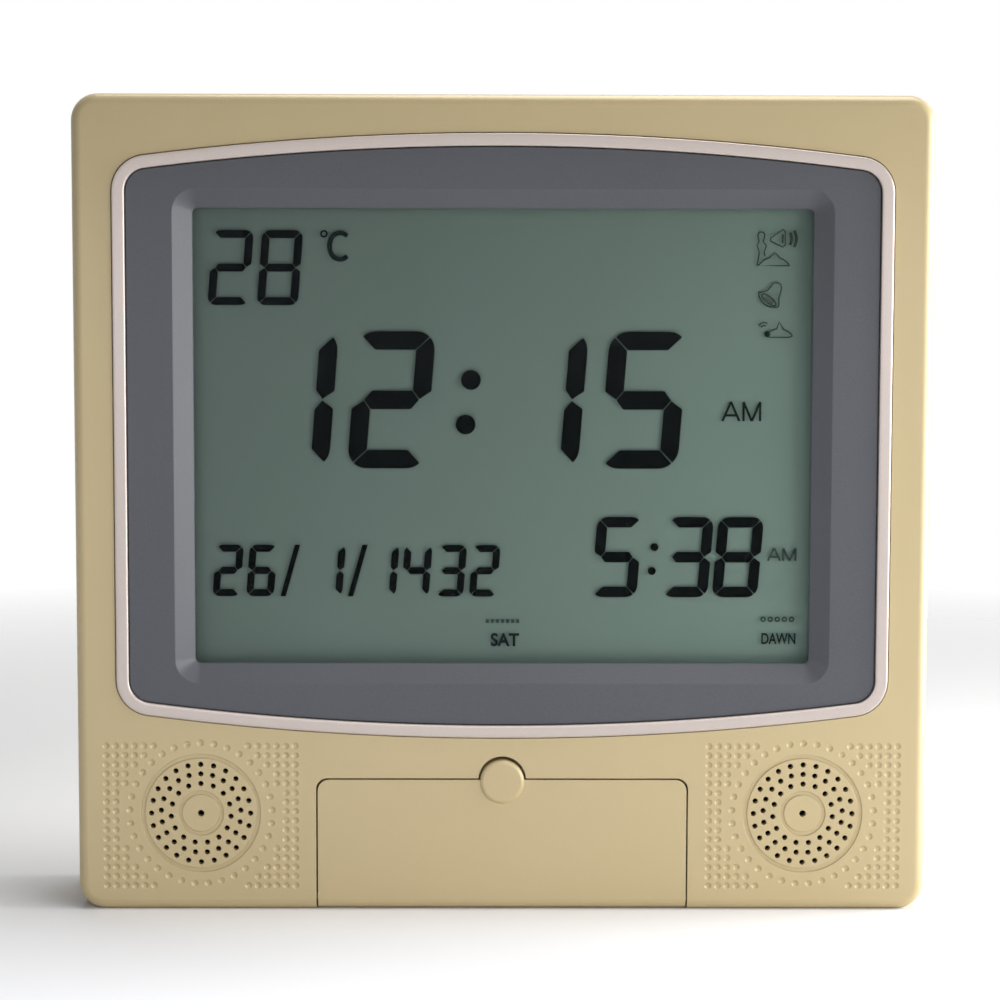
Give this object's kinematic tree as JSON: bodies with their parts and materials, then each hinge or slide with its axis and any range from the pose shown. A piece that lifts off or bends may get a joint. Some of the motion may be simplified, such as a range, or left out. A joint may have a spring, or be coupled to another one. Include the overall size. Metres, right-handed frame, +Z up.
{
  "type": "azan clock",
  "caption": "Upright digital prayer clock with a wide liquid-crystal display, two speakers, a drop-down key door, a volume wheel, a battery box and a fold-out stand.",
  "frame": {"origin": "middle of the flat base, at mid depth of the case", "axes": "+X to the right seen from the front, +Y to the back, +Z up"},
  "size_m": [0.2273, 0.0408, 0.215],
  "materials": {
    "case_plastic": "satin beige, fine moulded texture",
    "trim_silver": "satin champagne silver coat",
    "bezel_grey": "matt dark grey, fine grain",
    "clear_window": "clear acrylic, polished",
    "lcd_glass": "clear glass",
    "lcd_dark": "dark liquid-crystal segments",
    "seal_grey": "matt",
    "lcd_green": "grey-green reflector",
    "white_plastic": "matt",
    "connector_rubber": "matt",
    "board_green": "solder mask",
    "board_brown": "bare laminate",
    "black_plastic": "matt",
    "membrane_rubber": "matt",
    "key_plastic": "satin",
    "cell_sleeve": "satin",
    "black_lead": "satin",
    "red_lead": "satin",
    "dark_steel": "black zinc",
    "bright_steel": "zinc plated",
    "speaker_paper": "pressed paper"
  },
  "bodies": {
    "clock_case": {"front_housing": "case_plastic", "trim_ring": "trim_silver", "display_bezel": "bezel_grey", "bezel_screws": "bright_steel", "display_window": "clear_window", "lcd_front_glass": "lcd_glass", "lcd_segments": "lcd_dark", "lcd_seal": "seal_grey", "lcd_rear_glass": "lcd_glass", "lcd_reflector": "lcd_green", "lcd_holder": "white_plastic", "lcd_connectors": "connector_rubber", "main_board": "board_green", "board_components": "black_plastic", "board_screws": "bright_steel", "latch_body": "black_plastic", "latch_spring": "bright_steel", "key_membrane": "membrane_rubber", "key_board": "board_brown", "key_board_screws": "bright_steel", "left_speaker_frame": "dark_steel", "left_speaker_cone": "speaker_paper", "left_speaker_magnet": "bright_steel", "right_speaker_frame": "dark_steel", "right_speaker_cone": "speaker_paper", "right_speaker_magnet": "bright_steel", "volume_pot": "black_plastic", "volume_board": "board_green", "volume_board_screws": "bright_steel", "power_socket": "black_plastic", "temperature_sensor": "black_plastic", "back_housing": "case_plastic", "batteries": "cell_sleeve", "battery_springs": "bright_steel", "battery_contacts": "bright_steel", "housing_screws": "dark_steel", "speaker_leads": "red_lead", "battery_leads": "black_lead"},
    "front_door": {"control_door": "case_plastic"},
    "latch_slider": {"latch_plunger": "white_plastic"},
    "volume_dial": {"volume_wheel": "black_plastic", "volume_shaft": "bright_steel"},
    "battery_cover": {"battery_door": "case_plastic"},
    "rear_stand": {"stand_leg": "case_plastic", "stand_pin": "bright_steel"},
    "button_mode_key": {"mode_key": "key_plastic"},
    "button_set_key": {"set_key": "key_plastic"},
    "button_up_key": {"up_key": "key_plastic"},
    "button_down_key": {"down_key": "key_plastic"},
    "button_city_key": {"city_key": "key_plastic"},
    "button_alarm_key": {"alarm_key": "key_plastic"},
    "button_azan_key": {"azan_key": "key_plastic"},
    "button_light_key": {"light_key": "key_plastic"}
  },
  "joints": [
    {"name": "door_hinge", "type": "hinge", "parent": "clock_case", "child": "front_door", "pos_m": [0, -0.0172, 0.003], "axis": [1, 0, 0], "range_deg": [-1.5, 85]},
    {"name": "latch_slide", "type": "slide", "parent": "clock_case", "child": "latch_slider", "axis": [0, 1, 0], "range_m": [0, 0.0025], "stiffness_N_per_m": 150},
    {"name": "volume_turn", "type": "hinge", "parent": "clock_case", "child": "volume_dial", "pos_m": [0.1048, -0.0021, 0.0648], "axis": [0, 1, 0], "range_deg": [-140, 140]},
    {"name": "battery_cover_tilt", "type": "hinge", "parent": "clock_case", "child": "battery_cover", "pos_m": [0, 0.02, 0.0948], "axis": [-1, 0, 0], "range_deg": [0, 40]},
    {"name": "stand_hinge", "type": "hinge", "parent": "clock_case", "child": "rear_stand", "pos_m": [0, 0.0177, 0.086], "axis": [1, 0, 0], "range_deg": [0, 35]},
    {"name": "mode_key_press", "type": "slide", "parent": "clock_case", "child": "button_mode_key", "axis": [0, 1, 0], "range_m": [0, 0.0008], "stiffness_N_per_m": 300},
    {"name": "set_key_press", "type": "slide", "parent": "clock_case", "child": "button_set_key", "axis": [0, 1, 0], "range_m": [0, 0.0008], "stiffness_N_per_m": 300},
    {"name": "up_key_press", "type": "slide", "parent": "clock_case", "child": "button_up_key", "axis": [0, 1, 0], "range_m": [0, 0.0008], "stiffness_N_per_m": 300},
    {"name": "down_key_press", "type": "slide", "parent": "clock_case", "child": "button_down_key", "axis": [0, 1, 0], "range_m": [0, 0.0008], "stiffness_N_per_m": 300},
    {"name": "city_key_press", "type": "slide", "parent": "clock_case", "child": "button_city_key", "axis": [0, 1, 0], "range_m": [0, 0.0008], "stiffness_N_per_m": 300},
    {"name": "alarm_key_press", "type": "slide", "parent": "clock_case", "child": "button_alarm_key", "axis": [0, 1, 0], "range_m": [0, 0.0008], "stiffness_N_per_m": 300},
    {"name": "azan_key_press", "type": "slide", "parent": "clock_case", "child": "button_azan_key", "axis": [0, 1, 0], "range_m": [0, 0.0008], "stiffness_N_per_m": 300},
    {"name": "light_key_press", "type": "slide", "parent": "clock_case", "child": "button_light_key", "axis": [0, 1, 0], "range_m": [0, 0.0008], "stiffness_N_per_m": 300}
  ]
}
